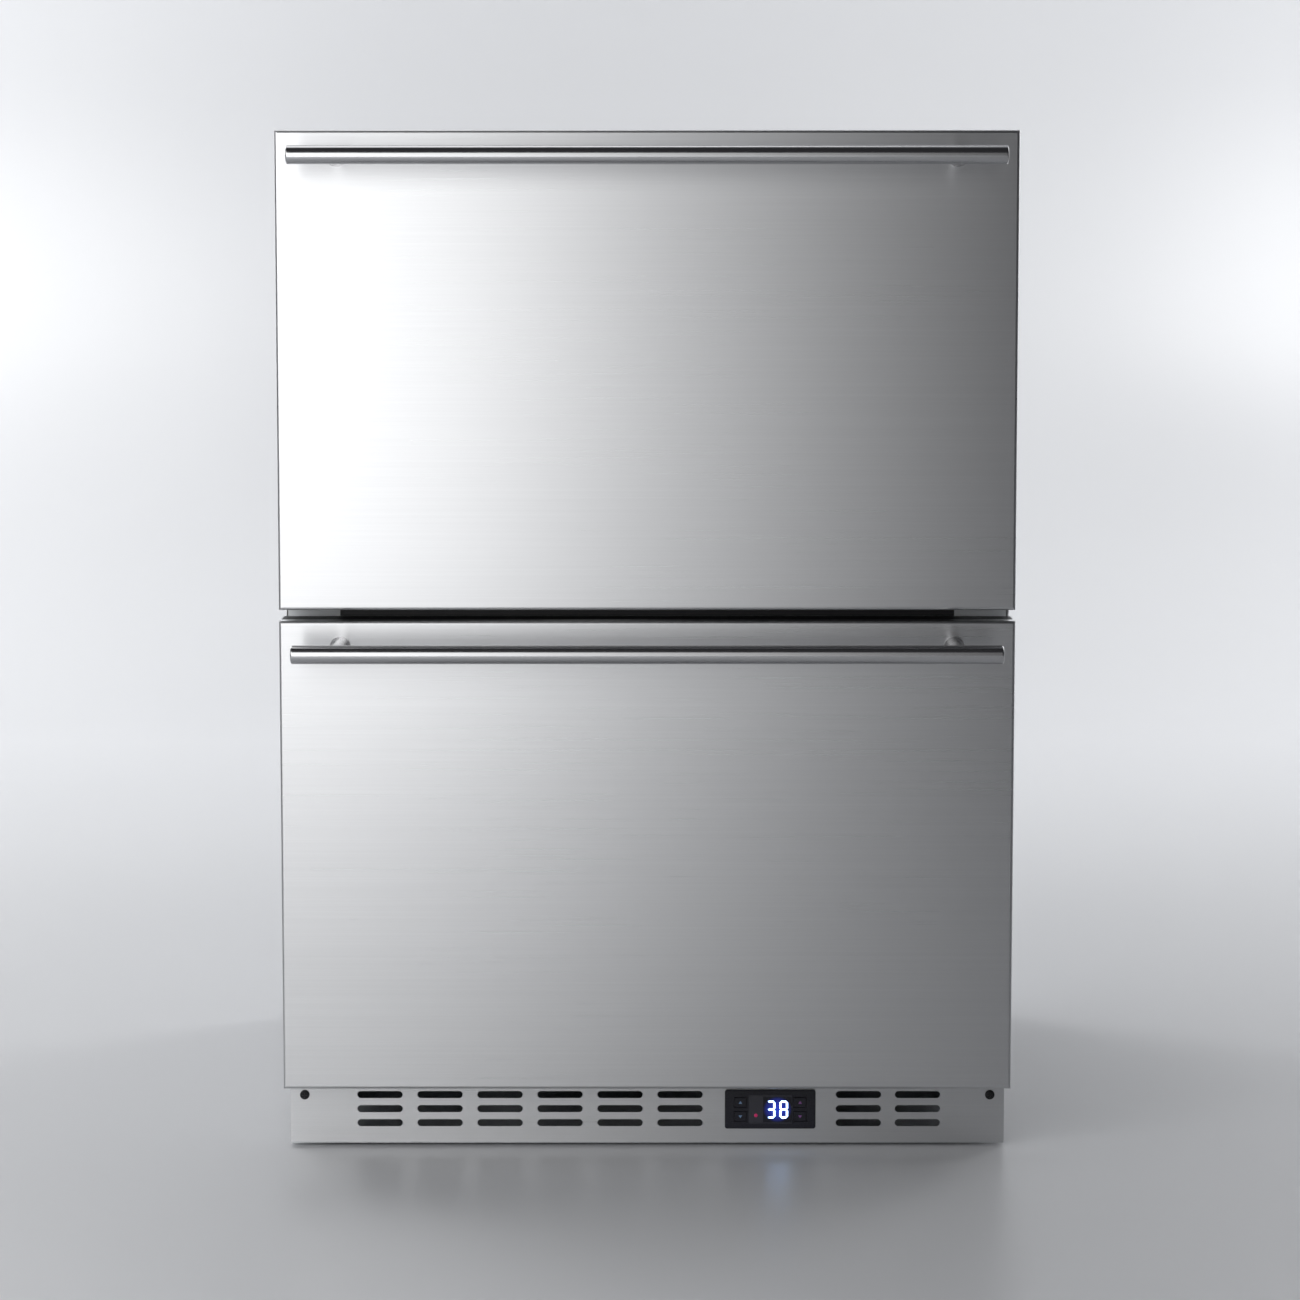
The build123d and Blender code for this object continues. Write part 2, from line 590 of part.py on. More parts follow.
def slide_middle(z_mid):
    """Intermediate member: runs in the outer one and carries the inner one."""
    half = SLIDE_HALF - SLIDE_T - SLIDE_PLAY
    y = (SLIDE_Y0, SLIDE_Y1 - SLIDE_STOP - SLIDE_PLAY)
    return both_sides(channel(z_mid, SLIDE_T + SLIDE_PLAY, SLIDE_DEPTH - SLIDE_PLAY, half, y))


def slide_inner(z_mid):
    """Drawer member, fixed to the arm."""
    half = SLIDE_HALF - 2 * (SLIDE_T + SLIDE_PLAY)
    y = (SLIDE_Y0, SLIDE_Y1 - SLIDE_STOP - SLIDE_PLAY)
    return both_sides(channel(z_mid, SLIDE_DEPTH, 2 * (SLIDE_T + SLIDE_PLAY), half, y))


# ---------------------------------------------------------------- machine compartment
def grommet_places():
    """The compressor's four mounting points."""
    return [(COMPRESSOR_X + a * 80, BAY_MID_Y + b * 45) for a in (-1, 1) for b in (-1, 1)]


def compressor():
    """Hermetic can with its welded seam, foot plate, terminal box and pipe stubs."""
    low = COMPRESSOR_Z
    centre = (COMPRESSOR_X, BAY_MID_Y)
    can = rod("z", COMPRESSOR_R, (*centre, low + 4), 158)
    circles = can.edges().filter_by(GeomType.CIRCLE)
    can = fillet(circles, 42)
    can += rod("z", COMPRESSOR_R + 4, (*centre, low + 82), 5)
    foot = block(
        (COMPRESSOR_X - 96, COMPRESSOR_X + 96), (BAY_MID_Y - 58, BAY_MID_Y + 58), (low, low + 3)
    )
    foot = fillet(foot.edges().filter_by(Axis.Z), 12)
    can += foot + rod("z", 40, (*centre, low), 20)
    for x, y in grommet_places():
        can -= rod("z", 7, (x, y, low - 1), 5)
    box_x = (COMPRESSOR_X - COMPRESSOR_R - 22, COMPRESSOR_X - COMPRESSOR_R + 12)
    can += block(box_x, (BAY_MID_Y - 24, BAY_MID_Y + 24), (low + 36, low + 78))
    can += rod("z", 4, (COMPRESSOR_X, BAY_MID_Y - 20, low + 150), DISCHARGE_Z - low - 150)
    elbow_x = COMPRESSOR_X + COMPRESSOR_R - 6
    can += rod("x", 4, (elbow_x, BAY_MID_Y, SUCTION_Z - 14), SUCTION_X - elbow_x)
    can += Pos(SUCTION_X, BAY_MID_Y, SUCTION_Z - 14) * Sphere(4)
    return can + rod("z", 4, (SUCTION_X, BAY_MID_Y, SUCTION_Z - 14), 14)


def grommet(x, y):
    """Rubber mount gripping the compressor's foot plate."""
    ring = rod("z", 12, (x, y, DECK_TOP), COMPRESSOR_Z - DECK_TOP)
    ring += rod("z", 7, (x, y, COMPRESSOR_Z), 3) + rod("z", 11, (x, y, COMPRESSOR_Z + 3), 4)
    return ring - rod("z", 3, (x, y, DECK_TOP - 1), 22)


def fin_coil(length, columns, fins):
    """Fin-and-tube block along +X from the origin, tube rows along Z and columns along Y."""
    deep, tall = columns * COIL_PITCH, COIL_ROWS * COIL_PITCH
    coil = None
    for i in range(fins):
        x = 8 + (length - 17) * i / (fins - 1)
        fin = block((x, x + 1), (0, deep), (0, tall))
        coil = fin if coil is None else coil + fin
    for column in range(columns):
        y = COIL_PITCH * (column + 0.5)
        for row in range(COIL_ROWS):
            coil += rod("x", COIL_TUBE_R, (0, y, COIL_PITCH * (row + 0.5)), length)
        for row in range(COIL_ROWS - 1):
            end = length if row % 2 else 0
            z = COIL_PITCH * (row + 1)
            ring = Pos(end, y, z) * Rot(90, 0, 0) * Torus(COIL_PITCH / 2, COIL_TUBE_R)
            half = block(sorted((end, end + (30 if row % 2 else -30))), (y - 5, y + 5), (z - 30, z + 30))
            coil += ring & half
    return coil


def condenser_coil():
    """Condenser block: tubes run front to back, air passes from left to right."""
    place = Pos(*CONDENSER_AT) * Rot(0, 0, 90)
    coil = place * fin_coil(150, 3, 15)
    for x, y in (CONDENSER_INLET, CONDENSER_OUTLET):
        coil += rod("z", COIL_TUBE_R, (x, y, CONDENSER_AT[2] + TOP_ROW), CONDENSER_STUB)
    return coil


def condenser_fan_shroud():
    """Plate behind the condenser with the fan's air ring."""
    x = SHROUD_X
    shroud = block((x, x + 2), (144, 312), (26, 222))
    shroud += rod("x", RING_R + 3, (x, BAY_MID_Y, FAN_Z), RING_DEPTH)
    return shroud - rod("x", RING_R, (x - 1, BAY_MID_Y, FAN_Z), RING_DEPTH + 2)


def condenser_fan_motor():
    """Fan motor with a bore for the shaft, on four struts that stand on the air ring."""
    x = SHROUD_X + RING_DEPTH
    motor = rod("x", 28, (x + 18, BAY_MID_Y, FAN_Z), 38)
    for turn in (45, 135, 225, 315):
        strut = block((x, x + 24), (RING_R - 2, RING_R + 6), (-3, 3))
        strut += block((x + 20, x + 24), (24, RING_R + 6), (-3, 3))
        motor += Pos(0, BAY_MID_Y, FAN_Z) * Rot(turn, 0, 0) * strut
    return motor - rod("x", SHAFT_R + SHAFT_GAP, (x + 17, BAY_MID_Y, FAN_Z), 30)


def fan_wheel(tip, hub, blades, depth, shaft_length):
    """Axial fan about +Z from z=0: pitched blades on a hub, with the rotor's shaft behind."""
    wheel = rod("z", hub, (0, 0, 0), depth)
    wheel = fillet(wheel.edges().filter_by(GeomType.CIRCLE).sort_by(Axis.Z)[0], hub / 4)
    ring = rod("z", tip, (0, 0, 0), depth) - rod("z", hub - 2, (0, 0, -1), depth + 2)
    for i in range(blades):
        paddle = Box(tip, 0.95 * tip, 1.6, align=(Align.MIN, Align.CENTER, Align.CENTER))
        swept = Rot(0, 0, 360 * i / blades) * Pos(0, 0, depth / 2) * Rot(28, 0, 0) * paddle
        wheel += swept & ring
    return wheel + rod("z", SHAFT_R, (0, 0, depth), shaft_length)


def condenser_fan():
    """Condenser fan, facing the coil."""
    return Pos(SHROUD_X + 5, BAY_MID_Y, FAN_Z) * Rot(0, 90, 0) * fan_wheel(74, 20, 5, 26, 22)


def drain_pan():
    """Evaporation tray under the drain tube."""
    tray = block((-92, 38), (150, 300), (DECK_TOP, 60))
    tray = fillet(tray.edges().filter_by(Axis.Z), 10)
    inside = block((-90, 36), (152, 298), (DECK_TOP + 2, 61))
    return tray - fillet(inside.edges().filter_by(Axis.Z), 8)


def drain_tube():
    """Carries defrost water from the liner down to the tray."""
    low = 66
    bore = rod("z", DRAIN_R - 2, (*DRAIN_XY, low - 1), STEP_Z - low + 2)
    return rod("z", DRAIN_R, (*DRAIN_XY, low), STEP_Z - low) - bore


def filter_drier():
    """Copper drier between the condenser and the capillary."""
    can = rod("x", 9, (DRIER_X[0], LINE_Y, LINE_RUN_Z), DRIER_X[1] - DRIER_X[0])
    return fillet(can.edges().filter_by(GeomType.CIRCLE), 5)


# ---------------------------------------------------------------- cold space
def evaporator_coil():
    """Evaporator block behind the cover, tubes across the cabinet, with two stub pipes."""
    coil = Pos(*EVAPORATOR_AT) * fin_coil(EVAPORATOR_LENGTH, 2, 17)
    for z in (SUCTION_LINE_Z, CAPILLARY_Z):
        stub_x = EVAPORATOR_END_X - 28
        coil += rod("x", COIL_TUBE_R, (stub_x, EVAPORATOR_END_Y, z), EVAPORATOR_END_X - stub_x)
    return coil


def evaporator_cover():
    """White cover in front of the evaporator with inlet slots and a fan outlet."""
    y = (EVAPORATOR_Y - 34, LINER_BACK)
    cover = block((-LINER_HALF + 2, LINER_HALF - 2), y, (STEP_Z + 8, LINER_TOP - 8))
    cover = fillet(cover.edges().filter_by(Axis.Z).group_by(Axis.Y)[0], 6)
    inside = block(
        (-LINER_HALF + 4, LINER_HALF - 4), (y[0] + 2, y[1] + 1), (STEP_Z + 10, LINER_TOP - 10)
    )
    cover -= fillet(inside.edges().filter_by(Axis.Z).group_by(Axis.Y)[0], 4)
    relief = LINER_CORNER_R + 2
    corner = block((-LINER_HALF, LINER_HALF), (y[1] - relief, y[1]), (STEP_Z, LINER_TOP))
    middle = LINER_HALF - relief
    corner -= block((-middle, middle), (0, y[1] + 1), (STEP_Z, LINER_TOP))
    cover -= corner
    place = Pos(0, y[0], 0) * Rot(90, 0, 0)
    for row in range(-5, 6):
        half_chord = (52**2 - (8 * row) ** 2) ** 0.5
        bar = Pos(0, EVAPORATOR_FAN_Z + 8 * row, 0) * SlotOverall(2 * half_chord, 4)
        cover -= place * extrude(bar, 4, both=True)
    for column in range(9):
        slot = Pos(-200 + 50 * column, STEP_Z + 30, 0) * SlotOverall(36, 6)
        cover -= place * extrude(slot, 4, both=True)
        cover -= place * extrude(Pos(0, 14, 0) * slot, 4, both=True)
    return cover


def evaporator_fan_motor():
    """Fan motor on a three-legged bracket fixed to the liner's back."""
    motor = rod("y", 20, (0, 250, EVAPORATOR_FAN_Z), 16)
    for turn in (90, 210, 330):
        leg = block((14, 58), (262, 265), (-5, 5)) + block((52, 58), (262, LINER_BACK), (-5, 5))
        motor += Pos(0, 0, EVAPORATOR_FAN_Z) * Rot(0, -turn, 0) * leg
    return motor - rod("y", SHAFT_R + SHAFT_GAP, (0, 249, EVAPORATOR_FAN_Z), 14)


def evaporator_fan():
    """Evaporator fan, blowing forwards through the cover."""
    return Pos(0, 224, EVAPORATOR_FAN_Z) * Rot(-90, 0, 0) * fan_wheel(46, 14, 5, 20, 14)


def led_lamp():
    """Lamp under the liner's ceiling, with a rounded diffuser."""
    lamp = block((-75, 75), (-178, -150), (LINER_TOP - 9, LINER_TOP))
    return fillet(lamp.faces().sort_by(Axis.Z)[0].edges(), 4)


def foot(x, y):
    """Levelling foot: pad, hexagon and threaded stud, screwed fully in."""
    pad = rod("z", FOOT_PAD_DIA / 2, (x, y, 0), 8)
    pad = fillet(pad.edges().filter_by(GeomType.CIRCLE).sort_by(Axis.Z)[-1], 3)
    hexagon = Pos(x, y, 8) * extrude(RegularPolygon(8, 6), BASE_Z - 8.3)
    return pad + hexagon + rod("z", STUD_DIA / 2, (x, y, 8), 40)


# ---------------------------------------------------------------- assembly
keep("cabinet_shell", cabinet_shell())
keep("inner_liner", inner_liner())
keep("cabinet_insulation", cabinet_insulation())
keep("center_mullion", center_mullion())
keep("bay_bulkhead", bay_bulkhead())
keep("back_panel", back_panel())
keep("base_frame", base_frame())
keep("machine_cover", machine_cover())
keep("cord_gland", cord_gland())
keep("kick_plate", kick_plate())
keep("controller_housing", controller_housing())
keep("display_window", window_box())
keep(
    "cabinet_fasteners",
    *[pan_head_screw(x, KICK_Y, KICK_SCREW_Z, -1) for x in (-KICK_SCREW_X, KICK_SCREW_X)],
    *[pan_head_screw(x, BACK_Y, z, 1) for x, z in REAR_SCREWS],
    *[compressor_bolt(x, y) for x, y in grommet_places()],
)
keep("compressor", compressor())
keep("compressor_grommets", *[grommet(x, y) for x, y in grommet_places()])
keep("condenser_coil", condenser_coil())
keep("condenser_fan_shroud", condenser_fan_shroud())
keep("condenser_fan_motor", condenser_fan_motor())
keep("condenser_fan", condenser_fan())
keep(
    "refrigerant_tubes",
    *[tube(*line) for line in (DISCHARGE_LINE, SUCTION_LINE, CAPILLARY, LIQUID_LINE)],
    filter_drier(),
)
keep("drain_pan", drain_pan())
keep("drain_tube", drain_tube())
keep("evaporator_coil", evaporator_coil())
keep("evaporator_cover", evaporator_cover())
keep("evaporator_fan_motor", evaporator_fan_motor())
keep("evaporator_fan", evaporator_fan())
keep("led_lamp", led_lamp())

keep(
    "slide_outer_members",
    *[member for bottom in FRONT_BOTTOMS.values() for member in slide_outer(bottom + SLIDE_RISE)],
)

for column, side in ((-1, "left"), (1, "right")):
    for row, level in ((-1, "lower"), (1, "upper")):
        keep(f"key_{side}_{level}", key(column, row))
for x, side in ((-FOOT_X, "left"), (FOOT_X, "right")):
    for y, end in zip(FOOT_ROWS, ("front", "rear")):
        keep(f"foot_{end}_{side}", foot(x, y))

for name, bottom in FRONT_BOTTOMS.items():
    slide_z = bottom + SLIDE_RISE
    mullion_side = 1 if name == "lower" else -1
    keep(f"{name}_front_skin", front_skin(bottom))
    keep(f"{name}_front_foam", front_foam(bottom))
    keep(f"{name}_edge_caps", *edge_caps(bottom))
    keep(f"{name}_inner_panel", inner_panel(bottom))
    keep(f"{name}_gasket", gasket(bottom, mullion_side))
    keep(f"{name}_handle_bar", handle_bar(bottom))
    keep(f"{name}_handle_posts", *handle_posts(bottom))
    keep(f"{name}_handle_screws", *handle_screws(bottom))
    keep(f"{name}_drawer_arms", *drawer_arms(bottom))
    keep(f"{name}_bin", drawer_bin(name))
    keep(f"{name}_slide_middle", *slide_middle(slide_z))
    keep(f"{name}_slide_inner", *slide_inner(slide_z))

for name, solids in pieces.items():
    shape = solids[0] if len(solids) == 1 else Compound(children=solids)
    export_step(shape, f"parts/{name}.step")
print(len(pieces), "nodes,", sum(len(solids) for solids in pieces.values()), "solids")
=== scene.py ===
"""Looks for the two-drawer under-counter refrigerator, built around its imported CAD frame."""
import json
import math

import bmesh
import bpy
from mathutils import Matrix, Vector


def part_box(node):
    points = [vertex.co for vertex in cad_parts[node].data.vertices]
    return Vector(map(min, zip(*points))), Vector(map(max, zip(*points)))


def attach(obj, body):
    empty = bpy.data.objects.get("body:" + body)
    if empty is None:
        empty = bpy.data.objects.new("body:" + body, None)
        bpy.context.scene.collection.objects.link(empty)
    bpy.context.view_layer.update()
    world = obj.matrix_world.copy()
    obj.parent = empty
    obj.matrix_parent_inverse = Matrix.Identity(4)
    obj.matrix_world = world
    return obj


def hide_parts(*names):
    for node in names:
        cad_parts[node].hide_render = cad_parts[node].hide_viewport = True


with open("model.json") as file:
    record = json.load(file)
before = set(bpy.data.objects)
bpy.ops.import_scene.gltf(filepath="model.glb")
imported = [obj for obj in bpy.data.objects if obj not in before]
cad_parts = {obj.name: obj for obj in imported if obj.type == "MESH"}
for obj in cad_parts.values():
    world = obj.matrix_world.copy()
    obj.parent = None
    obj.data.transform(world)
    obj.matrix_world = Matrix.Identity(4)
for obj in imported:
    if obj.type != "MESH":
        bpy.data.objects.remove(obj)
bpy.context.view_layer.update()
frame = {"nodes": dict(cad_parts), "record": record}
nodes = frame["nodes"]
MM = 0.001
LEVELS = ("upper", "lower")
BIN_LIP = 13 * MM  # a bin's side lips reach out this far


# ---------------------------------------------------------------- material helpers
class Surface:
    """A Principled material whose detail comes from nodes in object coordinates, in metres."""

    def __init__(self, name, color, rough, **sockets):
        self.material = bpy.data.materials.new(name)
        self.material.use_nodes = True
        self.tree = self.material.node_tree
        self.shader = self.tree.nodes["Principled BSDF"]
        self.shader.inputs["Base Color"].default_value = (*color, 1)
        self.shader.inputs["Roughness"].default_value = rough
        for socket, value in sockets.items():
            self.shader.inputs[socket.replace("_", " ")].default_value = value
        self.coords = self.node("ShaderNodeTexCoord").outputs["Object"]
        self.bump_output = None

    def node(self, kind, inputs=None, **settings):
        made = self.tree.nodes.new(kind)
        for key, value in settings.items():
            setattr(made, key, value)
        for key, value in (inputs or {}).items():
            if isinstance(value, bpy.types.NodeSocket):
                self.tree.links.new(value, made.inputs[key])
            else:
                made.inputs[key].default_value = value
        return made

    def stretched(self, scale):
        return self.node("ShaderNodeMapping", {"Vector": self.coords, "Scale": scale}).outputs[0]

    def noise(self, scale, detail=3.0, size=1.0):
        """Noise whose cells are 1/scale metres along each axis."""
        vector = self.stretched(scale)
        return self.node("ShaderNodeTexNoise", {"Vector": vector, "Scale": size, "Detail": detail}).outputs[0]

    def cells(self, scale, output="Color"):
        """Voronoi cells of 1/scale metres along each axis."""
        vector = self.stretched(scale)
        return self.node("ShaderNodeTexVoronoi", {"Vector": vector, "Scale": 1.0}).outputs[output]

    def remap(self, value, low, high, start=0.3, end=0.7):
        inputs = {"Value": value, "From Min": start, "From Max": end, "To Min": low, "To Max": high}
        return self.node("ShaderNodeMapRange", inputs).outputs[0]

    def vary_color(self, value, dark, light, start=0.3, end=0.7):
        """Colours the surface between two shades by a 0-1 pattern."""
        ramp = self.node("ShaderNodeValToRGB", {"Fac": value})
        ramp.color_ramp.elements[0].position = start
        ramp.color_ramp.elements[0].color = (*dark, 1)
        ramp.color_ramp.elements[1].position = end
        ramp.color_ramp.elements[1].color = (*light, 1)
        self.tree.links.new(ramp.outputs[0], self.shader.inputs["Base Color"])
        return self

    def vary_rough(self, value, low, high):
        self.tree.links.new(self.remap(value, low, high), self.shader.inputs["Roughness"])
        return self

    def bump(self, value, height, strength=1.0):
        """Adds a bump of about height metres, on top of any earlier one."""
        inputs = {"Height": value, "Distance": height, "Strength": strength}
        if self.bump_output:
            inputs["Normal"] = self.bump_output
        self.bump_output = self.node("ShaderNodeBump", inputs).outputs[0]
        self.tree.links.new(self.bump_output, self.shader.inputs["Normal"])
        return self


def shade(color, factor):
    """A colour made lighter or darker."""
    return tuple(min(1.0, c * factor) for c in color)


def brushed_steel(name, color, rough, grain, anisotropy):
    """Stainless sheet: long fine grain, a few deeper scratches and faint handling marks."""
    s = Surface(name, color, rough, Metallic=1.0, Anisotropic=anisotropy, Anisotropic_Rotation=0.25)
    tangent = s.node("ShaderNodeTangent", direction_type="RADIAL", axis="Z")
    s.tree.links.new(tangent.outputs[0], s.shader.inputs["Tangent"])
    fine = s.noise(grain, detail=4.0)
    coarse = s.noise([g * 0.22 for g in grain], detail=2.0)
    marks = s.noise((3.0, 3.0, 4.0), detail=5.0)
    blend = s.node("ShaderNodeMath", {0: fine, 1: coarse}, operation="MULTIPLY")
    scaled = s.remap(blend.outputs[0], 0.0, 1.0, 0.12, 0.42)
    s.vary_color(scaled, shade(color, 0.975), shade(color, 1.02), 0.0, 1.0)
    smudge = s.node("ShaderNodeMath", {0: scaled, 1: marks}, operation="ADD")
    s.vary_rough(smudge.outputs[0], rough - 0.015, rough + 0.02)
    s.bump(fine, 0.000003).bump(coarse, 0.000003, 0.5)
    return s.material


def moulded_plastic(name, color, rough, grain=2500.0, depth=0.00002, coat=0.0):
    """Injection-moulded plastic: fine spark-eroded grain, faint flow shading."""
    s = Surface(name, color, rough, Coat_Weight=coat, Coat_Roughness=0.15)
    flow = s.noise((9.0, 9.0, 6.0), detail=3.0)
    texture = s.noise((grain, grain, grain), detail=2.0)
    s.vary_color(flow, shade(color, 0.94), shade(color, 1.03))
    s.vary_rough(texture, rough - 0.05, rough + 0.06)
    s.bump(texture, depth).bump(flow, 0.0004, 0.25)
    return s.material


def galvanised(name, color, rough):
    """Zinc-coated sheet with its crystal spangle."""
    s = Surface(name, color, rough, Metallic=1.0)
    spangle = s.cells((150.0, 150.0, 150.0))
    grey = s.node("ShaderNodeRGBToBW", {"Color": spangle}).outputs[0]
    fine = s.noise((700.0, 700.0, 700.0), detail=2.0)
    s.vary_color(grey, shade(color, 0.90), shade(color, 1.04), 0.1, 0.9)
    s.tree.links.new(s.remap(grey, rough - 0.06, rough + 0.08, 0.1, 0.9), s.shader.inputs["Roughness"])
    s.bump(fine, 0.00001)
    return s.material


def plated(name, color, rough, tint):
    """Zinc-plated or bare metal with cloudy colour and fine tool marks."""
    s = Surface(name, color, rough, Metallic=1.0)
    cloud = s.noise((60.0, 60.0, 60.0), detail=4.0)
    marks = s.noise((180.0, 1400.0, 1400.0), detail=3.0)
    s.vary_color(cloud, tint, color)
    s.vary_rough(marks, rough - 0.08, rough + 0.1)
    s.bump(marks, 0.000015)
    return s.material


def painted(name, color, rough):
    """Thick gloss enamel with orange peel and a little dust."""
    s = Surface(name, color, rough, Coat_Weight=0.6, Coat_Roughness=0.08)
    peel = s.noise((260.0, 260.0, 260.0), detail=1.5)
    dust = s.noise((45.0, 45.0, 45.0), detail=6.0)
    s.vary_color(dust, shade(color, 0.8), tuple(c + 0.035 for c in color), 0.4, 0.75)
    s.vary_rough(dust, rough - 0.08, rough + 0.2)
    s.bump(peel, 0.00025, 0.5)
    return s.material


def rubber(name, color):
    """Matte extruded rubber with fine die lines and bloom."""
    s = Surface(name, color, 0.72, Sheen_Weight=0.15, Sheen_Roughness=0.5)
    bloom = s.noise((40.0, 40.0, 40.0), detail=5.0)
    grain = s.noise((1500.0, 1500.0, 1500.0), detail=2.0)
    s.vary_color(bloom, shade(color, 0.82), shade(color, 1.12))
    s.vary_rough(bloom, 0.62, 0.82)
    s.bump(grain, 0.00003)
    return s.material


def foam(name, color):
    """Cut polyurethane foam with open cells."""
    s = Surface(name, color, 0.95)
    cells = s.cells((900.0, 900.0, 900.0), "Distance")
    patches = s.noise((25.0, 25.0, 25.0), detail=5.0)
    s.vary_color(patches, shade(color, 0.82), color)
    s.vary_rough(patches, 0.85, 0.98)
    s.bump(cells, 0.0004)
    return s.material


def glowing(name, color, strength, core=None):
    """An emitter with a little unevenness, as a printed diffuser has."""
    s = Surface(name, color, 0.4, Emission_Strength=strength)
    grain = s.noise((600.0, 600.0, 600.0), detail=2.0)
    ramp = s.node("ShaderNodeValToRGB", {"Fac": grain})
    ramp.color_ramp.elements[0].position = 0.25
    ramp.color_ramp.elements[0].color = (*color, 1)
    ramp.color_ramp.elements[1].position = 0.7
    ramp.color_ramp.elements[1].color = (*(core or shade(color, 1.2)), 1)
    s.tree.links.new(ramp.outputs[0], s.shader.inputs["Emission Color"])
    s.bump(grain, 0.00001)
    return s.material


def glossy_window(name, color):
    """Tinted acrylic over a dark display, with faint wipe marks."""
    s = Surface(name, color, 0.08, Coat_Weight=1.0, Coat_Roughness=0.03)
    wipe = s.noise((30.0, 60.0, 220.0), detail=4.0)
    s.vary_color(wipe, shade(color, 0.7), shade(color, 1.5))
    s.vary_rough(wipe, 0.05, 0.16)
    return s.material


def halo(name, color, glow, strength):
    """Dark acrylic that glows in its middle, as it does round lit digits."""
    s = Surface(name, color, 0.12, Emission_Color=(*glow, 1))
    place = s.node("ShaderNodeTexCoord").outputs["Generated"]
    flat = s.node("ShaderNodeVectorMath", {0: place, 1: (1, 0, 1)}, operation="MULTIPLY").outputs[0]
    away = s.node("ShaderNodeVectorMath", {0: flat, 1: (0.5, 0, 0.5)}, operation="DISTANCE").outputs["Value"]
    s.tree.links.new(s.remap(away, strength, 0.0, 0.12, 0.5), s.shader.inputs["Emission Strength"])
    wipe = s.noise((30.0, 60.0, 220.0), detail=4.0)
    s.vary_rough(wipe, 0.08, 0.18)
    return s.material


STEEL = (0.66, 0.665, 0.675)
ALONG_X = (7.0, 1600.0, 1600.0)
ALONG_Y = (1600.0, 7.0, 1600.0)
mats = {
    "front": brushed_steel("brushed_steel_front", STEEL, 0.27, ALONG_X, 0.8),
    "bar": brushed_steel("brushed_steel_bar", (0.56, 0.56, 0.57), 0.17, (14.0, 1100.0, 1100.0), 0.4),
    "shell": brushed_steel("brushed_steel_shell", (0.60, 0.61, 0.62), 0.33, ALONG_Y, 0.5),
    "galvanised": galvanised("galvanised_sheet", (0.60, 0.62, 0.64), 0.38),
    "zinc": plated("zinc_plated_steel", (0.68, 0.68, 0.66), 0.3, (0.55, 0.56, 0.58)),
    "white": moulded_plastic("white_liner_plastic", (0.80, 0.82, 0.83), 0.32, 1400.0, 0.00001, 0.15),
    "bin": moulded_plastic("bin_plastic", (0.74, 0.78, 0.81), 0.26, 1800.0, 0.00001, 0.3),
    "black": moulded_plastic("black_plastic", (0.018, 0.018, 0.02), 0.48),
    "housing": moulded_plastic("controller_plastic", (0.006, 0.006, 0.014), 0.30, 3000.0, 0.000006),
    # Plain near-black steel for the cabinet screws; the finish of the real screws is not known.
    "dark_fastener": plated("dark_fastener_steel", (0.05, 0.05, 0.052), 0.4, (0.03, 0.03, 0.032)),
    "rubber": rubber("grey_rubber", (0.16, 0.165, 0.17)),
    "foam": foam("insulation_foam", (0.85, 0.74, 0.45)),
    "enamel": painted("black_enamel", (0.012, 0.012, 0.013), 0.28),
    "copper": plated("copper_tube", (0.78, 0.42, 0.28), 0.28, (0.50, 0.26, 0.18)),
    "fins": plated("aluminium_fins", (0.80, 0.81, 0.82), 0.34, (0.66, 0.67, 0.69)),
    "window": glossy_window("display_acrylic", (0.010, 0.010, 0.022)),
    "lamp": glowing("lamp_diffuser", (0.95, 0.97, 1.0), 1.6),
    "digit": glowing("display_digits", (0.20, 0.42, 1.0), 5.0, (0.55, 0.80, 1.0)),
    "red": glowing("status_dot", (0.40, 0.02, 0.10), 0.35),
    "mark": glowing("key_marks", (0.10, 0.16, 0.26), 0.30),
    "faint": glowing("faint_key_marks", (0.16, 0.06, 0.20), 0.22),
    "halo": halo("digit_halo", (0.006, 0.006, 0.014), (0.03, 0.07, 0.85), 0.55),
}

node_looks = {
    "cabinet_shell": "shell", "inner_liner": "white", "cabinet_insulation": "foam",
    "center_mullion": "black", "bay_bulkhead": "galvanised", "back_panel": "galvanised",
    "base_frame": "galvanised", "machine_cover": "galvanised", "cord_gland": "black",
    "kick_plate": "front", "controller_housing": "housing", "display_window": "window",
    "cabinet_fasteners": "dark_fastener", "compressor": "enamel", "compressor_grommets": "rubber",
    "condenser_coil": "fins", "condenser_fan_shroud": "black", "condenser_fan_motor": "black",
    "condenser_fan": "black", "refrigerant_tubes": "copper", "drain_pan": "black", "drain_tube": "white",
    "evaporator_coil": "fins", "evaporator_cover": "white", "evaporator_fan_motor": "black",
    "evaporator_fan": "black", "led_lamp": "lamp", "slide_outer_members": "zinc",
    "front_skin": "front", "front_foam": "foam", "edge_caps": "black", "inner_panel": "white",
    "gasket": "rubber", "handle_bar": "bar", "handle_posts": "bar", "handle_screws": "zinc",
    "drawer_arms": "galvanised", "bin": "bin", "slide_inner": "zinc", "slide_middle": "zinc",
    "foot": "zinc", "key": "housing",
}


def look_of(name):
    """The look of a node, whose name may carry a drawer level before it or a place after it."""
    plain = name
    for level in LEVELS:
        plain = plain.removeprefix(level + "_")
    for family in ("foot", "key"):
        if plain.startswith(family + "_"):
            plain = family
    return node_looks[plain]


for name, obj in nodes.items():
    obj.data.materials.clear()
    obj.data.materials.append(mats[look_of(name)])


